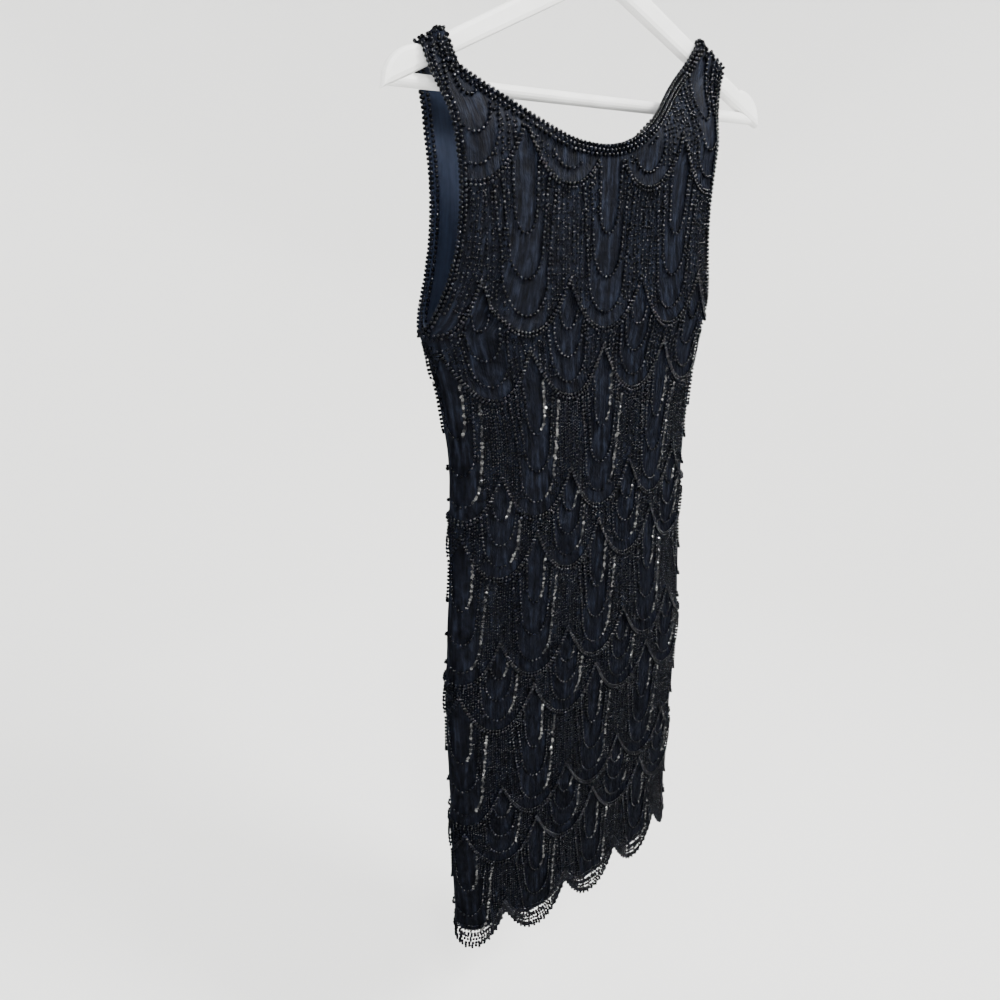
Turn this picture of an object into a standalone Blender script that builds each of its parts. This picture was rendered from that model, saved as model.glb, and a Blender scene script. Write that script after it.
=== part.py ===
"""Beaded sheath dress hanging on a wooden hanger. Metres, +Z up, front towards -Y.

The origin is the point where the hanger's hook hangs on its rail. Each panel is a grid of
columns (across, counted in beading pitches from the centre) and rows (bottom to top, each
row a scalloped line). Lining, panel and edging are all offsets of that one grid.
"""

import math

import bmesh
import bpy
import numpy as np

# --- Hanger -------------------------------------------------------------------------------
ARM_THICKNESS = 0.012
ARM_TOP_Z = -0.068
ARM_TOP_SLOPE = 0.49
ARM_LOWER_SLOPE = 0.469
ARM_TIP = (0.215, -0.190)
ARM_END_RADIUS = 0.034
ARM_END_STEPS = 7
ARM_END_TURNS = (86.0, 22.0)
ARM_NOTCH_X = 0.180
ARM_NOTCH = 0.0035
ARM_CROWN_HALF = 0.014
ARM_CROWN_DROP = 0.003
ARM_ARCH_HALF = 0.036
ARM_ARCH_RISE = 0.010
ARM_ARCH_SHARES = (1.0, 0.66, 0.33, 0.0)
ARM_EDGE_RADIUS = 0.004
ARM_ROUNDING = (-90, -45, -0.01, 0.01, 45, 90)
BAR_RADIUS = 0.0055
BAR_Z = -0.182
BAR_SIDES = 16
HOOK_WIRE_RADIUS = 0.0017
HOOK_INNER_RADIUS = 0.0188
HOOK_NECK = ((0.0, -0.0500), (0.0022, -0.0425), (0.0067, -0.0385), (0.0117, -0.0350))
HOOK_ARC = {"from": -42.0, "to": 205.0, "step": 13.0}
FERRULE_RADIUS = 0.0048
FERRULE_HEIGHT = 0.007
FERRULE_LIP = 0.001
FERRULE_POINTS = 2

# --- Cloth --------------------------------------------------------------------------------
SEAM_GAP = 0.0003
LINING_THICKNESS = 0.0010
PANEL_THICKNESS = 0.0015
LINING_SLACK = 0.0055
SLACK_ABOVE = 0.045
SLACK_LENGTH = 0.090
SEAT_GAP = 0.0004
STRAP_ROWS = (0.5, 1.0, 1.4)
STRAP_FACE_Y = 0.0077
STRAP_ARC_RADIUS = 0.0055
STRAP_FREE_Z = -0.150
STRAP_FREE_LENGTH = 0.070

COLUMNS_PER_PITCH = 6
COLUMNS_PER_HALF = 13
STRAP_COLUMNS = 2
SECTION_EXPONENT = 2.3
SECTION_SAMPLES = 97

SCALLOP_DEPTH = 0.048
SCALLOP_EXPONENT = 2.2
LONG_TIPS = (-1.110, -0.931, -0.749, -0.567, -0.385)
SHORT_TIPS = (-0.990, -0.810, -0.630, -0.446, -0.264)
BORDER_RISE = 0.0022
BORDER_STEP = 0.003
BORDER_PASSES = 12  # enough for a border's height to settle beside the armhole
RELIEF_FREE = 0.012
RELIEF_FADE = 0.016
NECKS = {
    "front": {"low": -0.224, "exponent": 2.1, "shift": -0.07},
    "back": {"low": -0.236, "exponent": 3.9, "shift": 0.0},
}
NECK_BAND = 0.010
BORDER_ROOM = 0.024

# Height, half width, depth in front and behind, centre of the dress, and its turn in degrees.
SECTIONS = (
    {"z": -0.120, "half": 0.176, "front": 0.042, "back": 0.034, "centre": -0.018, "turn": 0.0},
    {"z": -0.230, "half": 0.175, "front": 0.044, "back": 0.035, "centre": -0.018, "turn": 0.0},
    {"z": -0.300, "half": 0.172, "front": 0.044, "back": 0.036, "centre": -0.018, "turn": 0.0},
    {"z": -0.360, "half": 0.169, "front": 0.044, "back": 0.036, "centre": -0.017, "turn": 0.0},
    {"z": -0.385, "half": 0.166, "front": 0.044, "back": 0.036, "centre": -0.017, "turn": 0.0},
    {"z": -0.405, "half": 0.159, "front": 0.043, "back": 0.036, "centre": -0.017, "turn": 0.0},
    {"z": -0.440, "half": 0.154, "front": 0.042, "back": 0.035, "centre": -0.014, "turn": 0.0},
    {"z": -0.500, "half": 0.148, "front": 0.040, "back": 0.034, "centre": -0.011, "turn": 0.0},
    {"z": -0.600, "half": 0.151, "front": 0.040, "back": 0.034, "centre": -0.010, "turn": 0.8},
    {"z": -0.700, "half": 0.161, "front": 0.040, "back": 0.035, "centre": -0.007, "turn": 2.0},
    {"z": -0.800, "half": 0.169, "front": 0.040, "back": 0.036, "centre": -0.005, "turn": 3.2},
    {"z": -0.900, "half": 0.171, "front": 0.040, "back": 0.037, "centre": -0.003, "turn": 4.4},
    {"z": -1.000, "half": 0.174, "front": 0.040, "back": 0.038, "centre": -0.001, "turn": 5.6},
    {"z": -1.120, "half": 0.179, "front": 0.040, "back": 0.040, "centre": 0.004, "turn": 6.5},
)

# How far the armhole's edge lies inside the full section, by height above the underarm.
ARMHOLES = (
    {"rise": 0.000, "inset": 0.000},
    {"rise": 0.010, "inset": 0.003},
    {"rise": 0.025, "inset": 0.009},
    {"rise": 0.045, "inset": 0.017},
    {"rise": 0.075, "inset": 0.026},
    {"rise": 0.110, "inset": 0.031},
    {"rise": 0.145, "inset": 0.031},
    {"rise": 0.180, "inset": 0.026},
    {"rise": 0.210, "inset": 0.016},
    {"rise": 0.245, "inset": 0.009},
)

HEM_DRAW = 0.55
# Height above each hem tip of the openwork's rows, and how far each stands out.
HEM_ROWS = (
    {"lift": 0.0055, "rise": 0.0020, "opens": False},
    {"lift": 0.0150, "rise": 0.0014, "opens": True},
    {"lift": 0.0190, "rise": 0.0014, "opens": False},
    {"lift": 0.0290, "rise": 0.0010, "opens": True},
    {"lift": 0.0330, "rise": 0.0010, "opens": False},
)

# Long soft folds: place across in pitches, half width in pitches, top, bottom and depth.
FOLDS = {
    "front": (
        {"at": -1.62, "wide": 0.17, "top": -0.315, "bottom": -0.470, "depth": 0.0060},
        {"at": -1.25, "wide": 0.45, "top": -0.560, "bottom": -0.900, "depth": 0.0035},
        {"at": 0.45, "wide": 0.55, "top": -0.640, "bottom": -1.090, "depth": 0.0035},
        {"at": 1.40, "wide": 0.35, "top": -0.420, "bottom": -0.800, "depth": 0.0040},
    ),
    "back": (
        {"at": -1.40, "wide": 0.40, "top": -0.360, "bottom": -0.720, "depth": 0.0040},
        {"at": -0.30, "wide": 0.55, "top": -0.520, "bottom": -1.060, "depth": 0.0040},
        {"at": 1.10, "wide": 0.45, "top": -0.600, "bottom": -0.980, "depth": 0.0035},
    ),
}

EDGING_HEIGHT = 0.0032
EDGING_GAP = 0.0008
EDGING_PROFILE = ((0.0, 0.0), (0.96, 0.0), (0.80, 0.4), (0.60, 1.0), (0.22, 1.0), (0.0, 0.55))

PAINTED_WOOD = {"color": (0.86, 0.86, 0.84, 1.0), "roughness": 0.42, "metallic": 0.0}
STEEL = {"color": (0.62, 0.62, 0.63, 1.0), "roughness": 0.28, "metallic": 1.0}
NAVY_CLOTH = {"color": (0.022, 0.030, 0.052, 1.0), "roughness": 0.72, "metallic": 0.0}
LINING_SATIN = {"color": (0.040, 0.085, 0.200, 1.0), "roughness": 0.38, "metallic": 0.0}
BLACK_BEADS = {"color": (0.006, 0.007, 0.012, 1.0), "roughness": 0.15, "metallic": 0.0}

SMOOTH_ANGLE = 40.0
CENTRE_COLUMN = COLUMNS_PER_HALF
SIDE_PITCH = COLUMNS_PER_HALF / COLUMNS_PER_PITCH
COLUMNS = np.arange(-COLUMNS_PER_HALF, COLUMNS_PER_HALF + 1) / COLUMNS_PER_PITCH
NECK_PITCH = SIDE_PITCH - STRAP_COLUMNS / COLUMNS_PER_PITCH


def smooth_step(value):
    clipped = min(1.0, max(0.0, value))
    return clipped * clipped * (3.0 - 2.0 * clipped)


def table_value(table, key, column, at):
    """A value read smoothly between the rows of a table."""
    rows = sorted(table, key=lambda row: row[key])
    keys = [row[key] for row in rows]
    values = [row[column] for row in rows]
    spot = int(np.clip(np.searchsorted(keys, at) - 1, 0, len(rows) - 2))
    share = (at - keys[spot]) / (keys[spot + 1] - keys[spot])
    share = min(1.0, max(0.0, share))
    before = values[max(spot - 1, 0)]
    after = values[min(spot + 2, len(rows) - 1)]
    start, end = values[spot], values[spot + 1]
    slope_start = (end - before) * 0.5 * (spot > 0)
    slope_end = (after - start) * 0.5 * (spot < len(rows) - 2)
    two, three = share * share, share * share * share
    return (
        (2 * three - 3 * two + 1) * start
        + (three - 2 * two + share) * slope_start
        + (3 * two - 2 * three) * end
        + (three - two) * slope_end
    )


def section_value(column, z):
    return table_value(SECTIONS, "z", column, z)


def arm_top(x):
    """Height of the hanger's upper edge where the strap lies."""
    return ARM_TOP_Z - ARM_TOP_SLOPE * abs(x)


def scallop(pitch, phase, tip, depth=SCALLOP_DEPTH):
    """Height of a scalloped line: tips at whole pitches (phase 0) or halfway (phase 0.5)."""
    from_tip = abs((pitch - phase + 0.5) % 1.0 - 0.5) / 0.5
    return tip + depth * from_tip**SCALLOP_EXPONENT


UNDERARM_Z = scallop(SIDE_PITCH, 0.0, LONG_TIPS[-1])


def quarter_section(half, depth):
    """Points from the centre to the side seam, and their distances along the cloth."""
    turn = np.linspace(0.0, math.pi / 2, SECTION_SAMPLES)
    x = half * np.sin(turn) ** (2 / SECTION_EXPONENT)
    y = depth * np.abs(np.cos(turn)) ** (2 / SECTION_EXPONENT)
    steps = np.hypot(np.diff(x), np.diff(y))
    return x, y, np.concatenate([[0.0], np.cumsum(steps)])


def strap_share(z):
    """0 where the cloth lies flat against the hanger's arm, 1 where it hangs free."""
    return smooth_step((STRAP_FREE_Z - z) / STRAP_FREE_LENGTH)


def cut_share(side, z):
    """How much of the full section's length is left inside the armhole's edge."""
    if z <= UNDERARM_Z:
        return 1.0
    half = section_value("half", z)
    x, _, along = quarter_section(half, section_value(side, z))
    edge = half - table_value(ARMHOLES, "rise", "inset", z - UNDERARM_Z)
    return float(np.interp(edge, x, along) / along[-1])


def cloth_point(side, pitch, z):
    """The inner face of the cloth at this place across, in pitches, and this height."""
    half = section_value("half", z)
    x, y, along = quarter_section(half, section_value(side, z))
    distance = abs(pitch) / SIDE_PITCH * cut_share(side, z) * along[-1]
    out = float(np.interp(distance, along, x))
    depth = float(np.interp(distance, along, y))
    free = strap_share(z)
    depth = max(free * depth + (1.0 - free) * STRAP_FACE_Y, SEAM_GAP / 2)
    across = math.copysign(out, pitch)
    away = -depth if side == "front" else depth
    turn = math.radians(section_value("turn", z))
    x = section_value("centre", z) + across * math.cos(turn) - away * math.sin(turn)
    return np.array([x, across * math.sin(turn) + away * math.cos(turn), z])


def fold_depth(side, pitch, z):
    """How far the soft folds carry the cloth inwards here."""
    depth = 0.0
    for fold in FOLDS[side]:
        across = (pitch - fold["at"]) / fold["wide"]
        middle = (fold["top"] + fold["bottom"]) / 2
        reach = (fold["top"] - fold["bottom"]) / 2
        along = min(1.0, abs(z - middle) / reach)
        depth += fold["depth"] * math.exp(-across * across) * (1.0 - along * along) ** 1.5
    return depth


def strap_point(side, pitch, over):
    """A point on the strap's way over the arm: over runs from 0 at the face to 1 at the seam."""
    towards = -1.0 if side == "front" else 1.0
    foot_z = strap_foot(side, pitch)
    foot = cloth_point(side, pitch, foot_z)
    centre_y = STRAP_FACE_Y - STRAP_ARC_RADIUS
    if over <= STRAP_ROWS[-2]:
        angle = over / STRAP_ROWS[-2] * math.pi / 2
        depth = centre_y + STRAP_ARC_RADIUS * math.cos(angle)
        rise = STRAP_ARC_RADIUS * math.sin(angle)
    else:
        depth = SEAM_GAP / 2
        rise = STRAP_ARC_RADIUS
    return np.array([foot[0], towards * depth, foot_z + rise])


def strap_foot(side, pitch):
    """Height at which the strap starts to turn over the hanger's arm."""
    z = STRAP_FREE_Z
    for _ in range(4):
        x = cloth_point(side, pitch, z)[0]
        z = arm_top(x) + SEAT_GAP - STRAP_ARC_RADIUS
    return z


def top_edge(side, pitch):
    """Height where the panel's face ends: the neckline, or the foot of the strap's turn."""
    if abs(pitch) >= NECK_PITCH - 1e-6:
        return strap_foot(side, pitch)
    neck = NECKS[side]
    corner = strap_foot(side, math.copysign(NECK_PITCH, pitch))
    from_low = pitch / NECK_PITCH - neck["shift"]
    reach = 1.0 - math.copysign(neck["shift"], from_low)
    share = (abs(from_low) / reach) ** neck["exponent"]
    return neck["low"] + (corner - neck["low"]) * share


def hem_height(pitch, lift):
    """Rows of the openwork hem: strings that draw together towards each notch."""
    from_tip = abs((pitch + 0.5) % 1.0 - 0.5)
    spread = 1.0 - HEM_DRAW * smooth_step(from_tip / 0.5)
    return scallop(pitch, 0.0, LONG_TIPS[0]) + lift * spread


def fill(rows, *shares):
    """Adds rows at these shares of the way from the last row to the next one."""
    rows.extend({"between": share} for share in shares)


def border(rows, name, phase, tip):
    rows.append({"name": name + "_foot", "phase": phase, "tip": tip - BORDER_STEP, "rise": 0.0})
    rows.append({"name": name, "phase": phase, "tip": tip, "rise": BORDER_RISE})


def plan_rows():
    """Every row of the panel from hem to strap foot, as a short description of each."""
    rows = [{"name": "hem", "phase": 0.0, "tip": LONG_TIPS[0], "rise": BORDER_RISE}]
    for hem_row in HEM_ROWS:
        rows.append({"name": "hem_string", "lift": hem_row["lift"], "rise": hem_row["rise"]})
    fill(rows, 0.5)
    for short_tip, long_tip in zip(SHORT_TIPS, LONG_TIPS[1:]):
        border(rows, "short_border", 0.5, short_tip)
        fill(rows, 0.5)
        border(rows, "long_border", 0.0, long_tip)
        if long_tip != LONG_TIPS[-1]:
            fill(rows, 0.33, 0.67)
    fill(rows, 0.10, 0.27, 0.58)
    border(rows, "top_border", 0.5, SHORT_TIPS[-1])
    fill(rows, 0.3, 0.58, 0.82)
    rows.append({"name": "band", "below_top": NECK_BAND, "rise": 0.0})
    rows.append({"name": "top", "below_top": 0.0, "rise": 0.0})
    return rows


ROWS = plan_rows()


def border_height(side, row, pitch):
    """A border keeps its scallops' full width where the armholes cut the cloth narrower."""
    height = row["tip"]
    for _ in range(BORDER_PASSES):
        height = scallop(pitch * cut_share(side, height), row["phase"], row["tip"])
    return height


def named_height(side, row, pitch):
    """Height of a row that has its own rule, before the rows between are worked out."""
    if "lift" in row:
        return hem_height(pitch, row["lift"])
    if "below_top" in row:
        return top_edge(side, pitch) - row["below_top"]
    height = border_height(side, row, pitch)
    if row["tip"] > UNDERARM_Z + SCALLOP_DEPTH:
        most = top_edge(side, pitch) - BORDER_ROOM - (SHORT_TIPS[-1] - row["tip"])
        return min(height, most)
    return height


def column_heights(side, pitch):
    """Heights of all the rows in one column, bottom to top."""
    named = [n for n, row in enumerate(ROWS) if "between" not in row]
    heights = {n: named_height(side, ROWS[n], pitch) for n in named}
    for number, row in enumerate(ROWS):
        if "between" in row:
            start = heights[max(n for n in named if n < number)]
            end = heights[min(n for n in named if n > number)]
            heights[number] = start + (end - start) * row["between"]
    return [heights[number] for number in range(len(ROWS))]


def row_number(name):
    return [row.get("name") for row in ROWS].index(name)


UNDERARM_ROW = max(n for n, row in enumerate(ROWS) if row.get("name") == "long_border")
BAND_ROW = row_number("band")
TOP_ROW = row_number("top")
LAST_ROW = TOP_ROW + len(STRAP_ROWS)


def is_strap(column):
    return column <= STRAP_COLUMNS or column >= len(COLUMNS) - 1 - STRAP_COLUMNS


def base_grid(side):
    """Points of the cloth's inner face, [column][row]; above the neckline they repeat."""
    grid = np.zeros((len(COLUMNS), LAST_ROW + 1, 3))
    for i, pitch in enumerate(COLUMNS):
        for j, z in enumerate(column_heights(side, pitch)):
            grid[i, j] = cloth_point(side, pitch, z)
            grid[i, j, 1] += (1.0 if side == "front" else -1.0) * fold_depth(side, pitch, z)
        for step, over in enumerate(STRAP_ROWS):
            if is_strap(i):
                grid[i, TOP_ROW + 1 + step] = strap_point(side, pitch, over)
            else:
                grid[i, TOP_ROW + 1 + step] = grid[i, TOP_ROW]
    return grid


def grid_normals(grid, side):
    """Outward directions at the grid's points."""
    normals = np.zeros_like(grid)
    last_column = len(COLUMNS) - 1
    for i in range(last_column + 1):
        last_row = LAST_ROW if is_strap(i) else TOP_ROW
        for j in range(last_row + 1):
            across = neighbour(grid, i, j, 1) - neighbour(grid, i, j, -1)
            upward = grid[i, min(j + 1, last_row)] - grid[i, max(j - 1, 0)]
            normal = np.cross(across, upward)
            if side == "back":
                normal = -normal
            normals[i, j] = normal / np.linalg.norm(normal)
            if j <= UNDERARM_ROW and i in (0, last_column):
                normals[i, j] = (-1.0 if i == 0 else 1.0, 0.0, 0.0)
    return normals


def neighbour(grid, column, row, step):
    """The next point across, or the point itself at an edge or at the strap's inner side."""
    other = column + step
    if other < 0 or other >= len(COLUMNS):
        return grid[column, row]
    if row > TOP_ROW and not is_strap(other):
        return grid[column, row]
    return grid[other, row]


def edge_fade(column, row, grid):
    """Relief dies away under the beaded edging of the neck and the armholes."""
    if row > UNDERARM_ROW and column in (0, 1, len(COLUMNS) - 2, len(COLUMNS) - 1):
        return 0.0
    below_top = grid[column, TOP_ROW, 2] - grid[column, row, 2]
    return smooth_step((below_top - RELIEF_FREE) / RELIEF_FADE)


def relief(column, row, grid):
    """How far the beaded borders stand out of the panel's outer face."""
    if row > TOP_ROW or "between" in ROWS[row]:
        return 0.0
    return ROWS[row].get("rise", 0.0) * edge_fade(column, row, grid)


def openwork_cells():
    """The cells cut through in the hem, as {(column, row)}."""
    cells = set()
    for number, hem_row in enumerate(HEM_ROWS):
        if not hem_row["opens"]:
            continue
        for column in range(1, len(COLUMNS) - 2):
            middle = (COLUMNS[column] + COLUMNS[column + 1]) / 2
            if abs((middle + 0.5) % 1.0 - 0.5) < 2 / COLUMNS_PER_PITCH:
                cells.add((column, number))
    return cells


def wall_cells(columns, rows, left_out):
    """The grid cells that a wall covers: the face, and above it the straps alone."""
    cells = []
    for a in range(len(columns) - 1):
        for b in range(len(rows) - 1):
            strap_cell = is_strap(columns[a]) and is_strap(columns[a + 1])
            if rows[b] >= TOP_ROW and not strap_cell:
                continue
            if (columns[a], rows[b]) in left_out:
                continue
            cells.append((a, b))
    return cells


def make_material(name, look):
    material = bpy.data.materials.new(name)
    material.use_nodes = True
    shader = material.node_tree.nodes["Principled BSDF"]
    shader.inputs["Base Color"].default_value = look["color"]
    shader.inputs["Roughness"].default_value = look["roughness"]
    shader.inputs["Metallic"].default_value = look["metallic"]
    return material


def add_object(name, mesh, look, parent):
    node = bpy.data.objects.new(name, mesh)
    node.data.materials.append(make_material(name + "_material", look))
    node.parent = parent
    bpy.context.scene.collection.objects.link(node)
    return node


def mesh_from(name, form):
    bmesh.ops.recalc_face_normals(form, faces=form.faces)
    mesh = bpy.data.meshes.new(name)
    form.to_mesh(mesh)
    form.free()
    mesh.shade_smooth()
    mesh.set_sharp_from_angle(angle=math.radians(SMOOTH_ANGLE))
    return mesh


def wall_mesh(name, inner, outer, cells):
    """A closed wall between two grids of points, over the given cells."""
    form = bmesh.new()
    made = {}

    def corner(layer, a, b):
        if (layer, a, b) not in made:
            made[layer, a, b] = form.verts.new((inner, outer)[layer][a][b])
        return made[layer, a, b]

    covered = set(cells)
    for a, b in cells:
        ring = ((a, b), (a + 1, b), (a + 1, b + 1), (a, b + 1))
        beside = ((a, b - 1), (a + 1, b), (a, b + 1), (a - 1, b))
        turned = ring if a < CENTRE_COLUMN else ring[1:] + ring[:1]
        for half in (turned[:3], (turned[2], turned[3], turned[0])):
            form.faces.new([corner(1, *spot) for spot in half])
            form.faces.new([corner(0, *spot) for spot in reversed(half)])
        for number, other in enumerate(beside):
            if other in covered:
                continue
            start, end = ring[number], ring[(number + 1) % 4]
            form.faces.new((corner(1, *end), corner(1, *start), corner(0, *start), corner(0, *end)))
    return mesh_from(name, form)


def panel_faces(side):
    """The panel's inner and outer grids of points."""
    grid = base_grid(side)
    normals = grid_normals(grid, side)
    inner = grid + normals * (LINING_THICKNESS + SEAM_GAP)
    outer = inner + normals * PANEL_THICKNESS
    for i in range(len(COLUMNS)):
        for j in range(LAST_ROW + 1):
            outer[i, j] += normals[i, j] * relief(i, j, grid)
    return inner, outer, normals


def build_panel(side, parent):
    inner, outer, _ = panel_faces(side)
    columns = list(range(len(COLUMNS)))
    rows = list(range(LAST_ROW + 1))
    mesh = wall_mesh(side + "_panel", inner, outer, wall_cells(columns, rows, openwork_cells()))
    add_object(side + "_panel", mesh, NAVY_CLOTH, parent)


def lining_rows():
    """The lining ends above the openwork and needs few rows below the bust."""
    hem_row = len(HEM_ROWS) + 1
    borders = ("short_border", "long_border")
    low = [n for n in range(hem_row, UNDERARM_ROW) if ROWS[n].get("name") in borders]
    waist = [n for n in range(low[-2] + 1, low[-1]) if "between" in ROWS[n]]
    return [hem_row] + low[:-1] + waist + list(range(low[-1], LAST_ROW + 1))


def build_lining(side, parent):
    """The lining hangs a little free of the panel below the underarm."""
    grid = base_grid(side)
    normals = grid_normals(grid, side)
    columns = list(range(len(COLUMNS)))
    rows = lining_rows()
    inner = np.zeros((len(columns), len(rows), 3))
    outer = np.zeros_like(inner)
    for a, i in enumerate(columns):
        for b, j in enumerate(rows):
            drop = UNDERARM_Z + SLACK_ABOVE - grid[i, j, 2]
            slack = LINING_SLACK * smooth_step(drop / SLACK_LENGTH)
            towards = slack_direction(side, normals[i, j], i)
            start = grid[i, j] + towards * slack
            inner[a, b] = start
            outer[a, b] = start + normals[i, j] * LINING_THICKNESS
    mesh = wall_mesh(side + "_lining", inner, outer, wall_cells(columns, rows, set()))
    add_object(side + "_lining", mesh, LINING_SATIN, parent)


def slack_direction(side, normal, column):
    """Inwards; at the side seam only along X, so that front and back linings still meet."""
    if column in (0, len(COLUMNS) - 1):
        return -normal * np.array([1.0, 0.0, 0.0])
    return -normal


def neck_path():
    """Grid places along the neck edge, with the place that lies inside each."""
    first = STRAP_COLUMNS
    last = len(COLUMNS) - 1 - STRAP_COLUMNS
    path = [((first, row), (first - 1, row)) for row in range(LAST_ROW, TOP_ROW - 1, -1)]
    path += [((column, TOP_ROW), (column, BAND_ROW)) for column in range(first + 1, last)]
    path += [((last, row), (last + 1, row)) for row in range(TOP_ROW, LAST_ROW + 1)]
    return path


def armhole_path(column):
    inside = 1 if column == 0 else -1
    rows = range(UNDERARM_ROW, LAST_ROW + 1)
    return [((column, row), (column + inside, row)) for row in rows]


def panel_joins(start, end):
    """Whether the panel's mesh has a diagonal between these two places of its grid."""
    same_way = (end[0] - start[0]) * (end[1] - start[1]) > 0
    return same_way == (min(start[0], end[0]) < CENTRE_COLUMN)


def build_edging(name, faces, path, parent):
    """A low rounded rope of beading on the panel's outer face, along one edge."""
    _, outer, normals = faces
    form = bmesh.new()
    rings = []
    for edge, inside in path:
        start, end = outer[edge], outer[inside]
        ring = []
        for share, height in EDGING_PROFILE:
            lift = normals[edge] * (1.0 - share) + normals[inside] * share
            raised = EDGING_GAP + height * EDGING_HEIGHT
            ring.append(form.verts.new(start + (end - start) * share + lift * raised))
        rings.append(ring)
    for step, (before, after) in enumerate(zip(rings, rings[1:])):
        inside_to_edge = panel_joins(path[step][1], path[step + 1][0])
        for number in range(len(before)):
            other = (number + 1) % len(before)
            ring = [before[number], before[other], after[other], after[number]]
            ring = ring[1:] + ring[:1] if inside_to_edge else ring
            form.faces.new(ring[:3])
            form.faces.new((ring[2], ring[3], ring[0]))
    form.faces.new(rings[0])
    form.faces.new(list(reversed(rings[-1])))
    add_object(name, mesh_from(name, form), BLACK_BEADS, parent)


def arm_lower(x):
    """Height of the arm's straight lower edge."""
    return ARM_TIP[1] + ARM_LOWER_SLOPE * (ARM_TIP[0] - x)


def arm_outline():
    """The hanger's outline in X and Z: the right half from crown to arch, then the left."""
    half = [(0.0, ARM_TOP_Z - ARM_CROWN_DROP), (ARM_CROWN_HALF, arm_top(ARM_CROWN_HALF))]
    half.append((ARM_NOTCH_X, arm_top(ARM_NOTCH_X)))
    end_x = ARM_TIP[0] - ARM_END_RADIUS
    for step in range(ARM_END_STEPS):
        start, end = ARM_END_TURNS
        turn = math.radians(start + (end - start) * step / (ARM_END_STEPS - 1))
        across = end_x + ARM_END_RADIUS * math.cos(turn)
        half.append((across, ARM_TIP[1] + ARM_END_RADIUS * math.sin(turn)))
    half.append(ARM_TIP)
    arch_z = arm_lower(ARM_ARCH_HALF)
    for share in ARM_ARCH_SHARES:
        half.append((ARM_ARCH_HALF * share, arch_z + ARM_ARCH_RISE * (1.0 - share**2)))
    return half + [(-x, z) for x, z in reversed(half) if x > 0.0]


def inset_outline(outline, inset):
    """The outline drawn in by this much all round, corner by corner."""
    points = np.array(outline)
    sides = np.roll(points, -1, axis=0) - points
    sides /= np.linalg.norm(sides, axis=1)[:, None]
    inward = np.stack([sides[:, 1], -sides[:, 0]], axis=1)
    before = np.roll(inward, 1, axis=0)
    bisector = before + inward
    bisector /= np.sum(bisector * inward, axis=1)[:, None]
    return points + bisector * inset


def build_arms(parent):
    """Flat arms with rounded edges, lofted from the outline drawn in step by step."""
    outline = arm_outline()
    half = ARM_THICKNESS / 2
    form = bmesh.new()
    rings = []
    for degrees in ARM_ROUNDING:
        turn = math.radians(abs(degrees))
        inset = ARM_EDGE_RADIUS * (1.0 - math.cos(turn))
        depth = half - ARM_EDGE_RADIUS * (1.0 - math.sin(turn))
        y = math.copysign(depth, degrees)
        rings.append([form.verts.new((x, y, z)) for x, z in inset_outline(outline, inset)])
    count = len(outline)
    for before, after in zip(rings, rings[1:]):
        for number in range(count):
            other = (number + 1) % count
            form.faces.new((before[number], before[other], after[other], after[number]))
    form.faces.new(rings[0])
    form.faces.new(list(reversed(rings[-1])))
    node = add_object("hanger_arms", mesh_from("hanger_arms", form), PAINTED_WOOD, parent)
    for side in (-1, 1):
        cut_notch(node, side, parent)


def cut_notch(arms, side, parent):
    """A small notch across the arm's top edge, where it meets the rounded end."""
    middle = (side * ARM_NOTCH_X, 0.0, arm_top(ARM_NOTCH_X))
    form = bmesh.new()
    bmesh.ops.create_cube(form, size=1.0)
    mesh = bpy.data.meshes.new("notch_cutter")
    form.to_mesh(mesh)
    form.free()
    cutter = bpy.data.objects.new("notch_cutter", mesh)
    cutter.scale = (ARM_NOTCH, ARM_THICKNESS * 2.0, ARM_NOTCH)
    cutter.location = middle
    cutter.rotation_euler = (0.0, math.pi / 4 + side * math.atan(ARM_TOP_SLOPE), 0.0)
    cutter.parent = parent
    cutter.hide_render = True
    cutter.display_type = "WIRE"
    bpy.context.scene.collection.objects.link(cutter)
    cut = arms.modifiers.new("notch", "BOOLEAN")
    cut.operation = "DIFFERENCE"
    cut.object = cutter


def build_bar(parent):
    """A round bar whose ends meet the arms' sloping lower edges."""
    gap = SEAM_GAP * math.hypot(1.0, 1.0 / ARM_LOWER_SLOPE)
    form = bmesh.new()
    rings = []
    for end in (-1, 1):
        ring = []
        for number in range(BAR_SIDES):
            turn = 2 * math.pi * number / BAR_SIDES
            z = BAR_Z + BAR_RADIUS * math.sin(turn)
            reach = ARM_TIP[0] - (z - ARM_TIP[1]) / ARM_LOWER_SLOPE - gap
            ring.append(form.verts.new((end * reach, BAR_RADIUS * math.cos(turn), z)))
        rings.append(ring)
    for number in range(BAR_SIDES):
        other = (number + 1) % BAR_SIDES
        form.faces.new((rings[0][number], rings[0][other], rings[1][other], rings[1][number]))
    form.faces.new(rings[0])
    form.faces.new(list(reversed(rings[1])))
    add_object("hanger_bar", mesh_from("hanger_bar", form), PAINTED_WOOD, parent)


def hook_path():
    """Centre line of the hook from its ferrule up, round and down to the tip."""
    radius = HOOK_INNER_RADIUS + HOOK_WIRE_RADIUS
    base = ARM_TOP_Z - ARM_CROWN_DROP + SEAM_GAP
    points = [(0.0, base), (0.0, base + FERRULE_HEIGHT), (0.0, base + FERRULE_HEIGHT + FERRULE_LIP)]
    points += HOOK_NECK
    for degrees in np.arange(HOOK_ARC["from"], HOOK_ARC["to"], HOOK_ARC["step"]):
        turn = math.radians(degrees)
        points.append((radius * math.cos(turn), radius * math.sin(turn) - HOOK_INNER_RADIUS))
    return points


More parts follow.
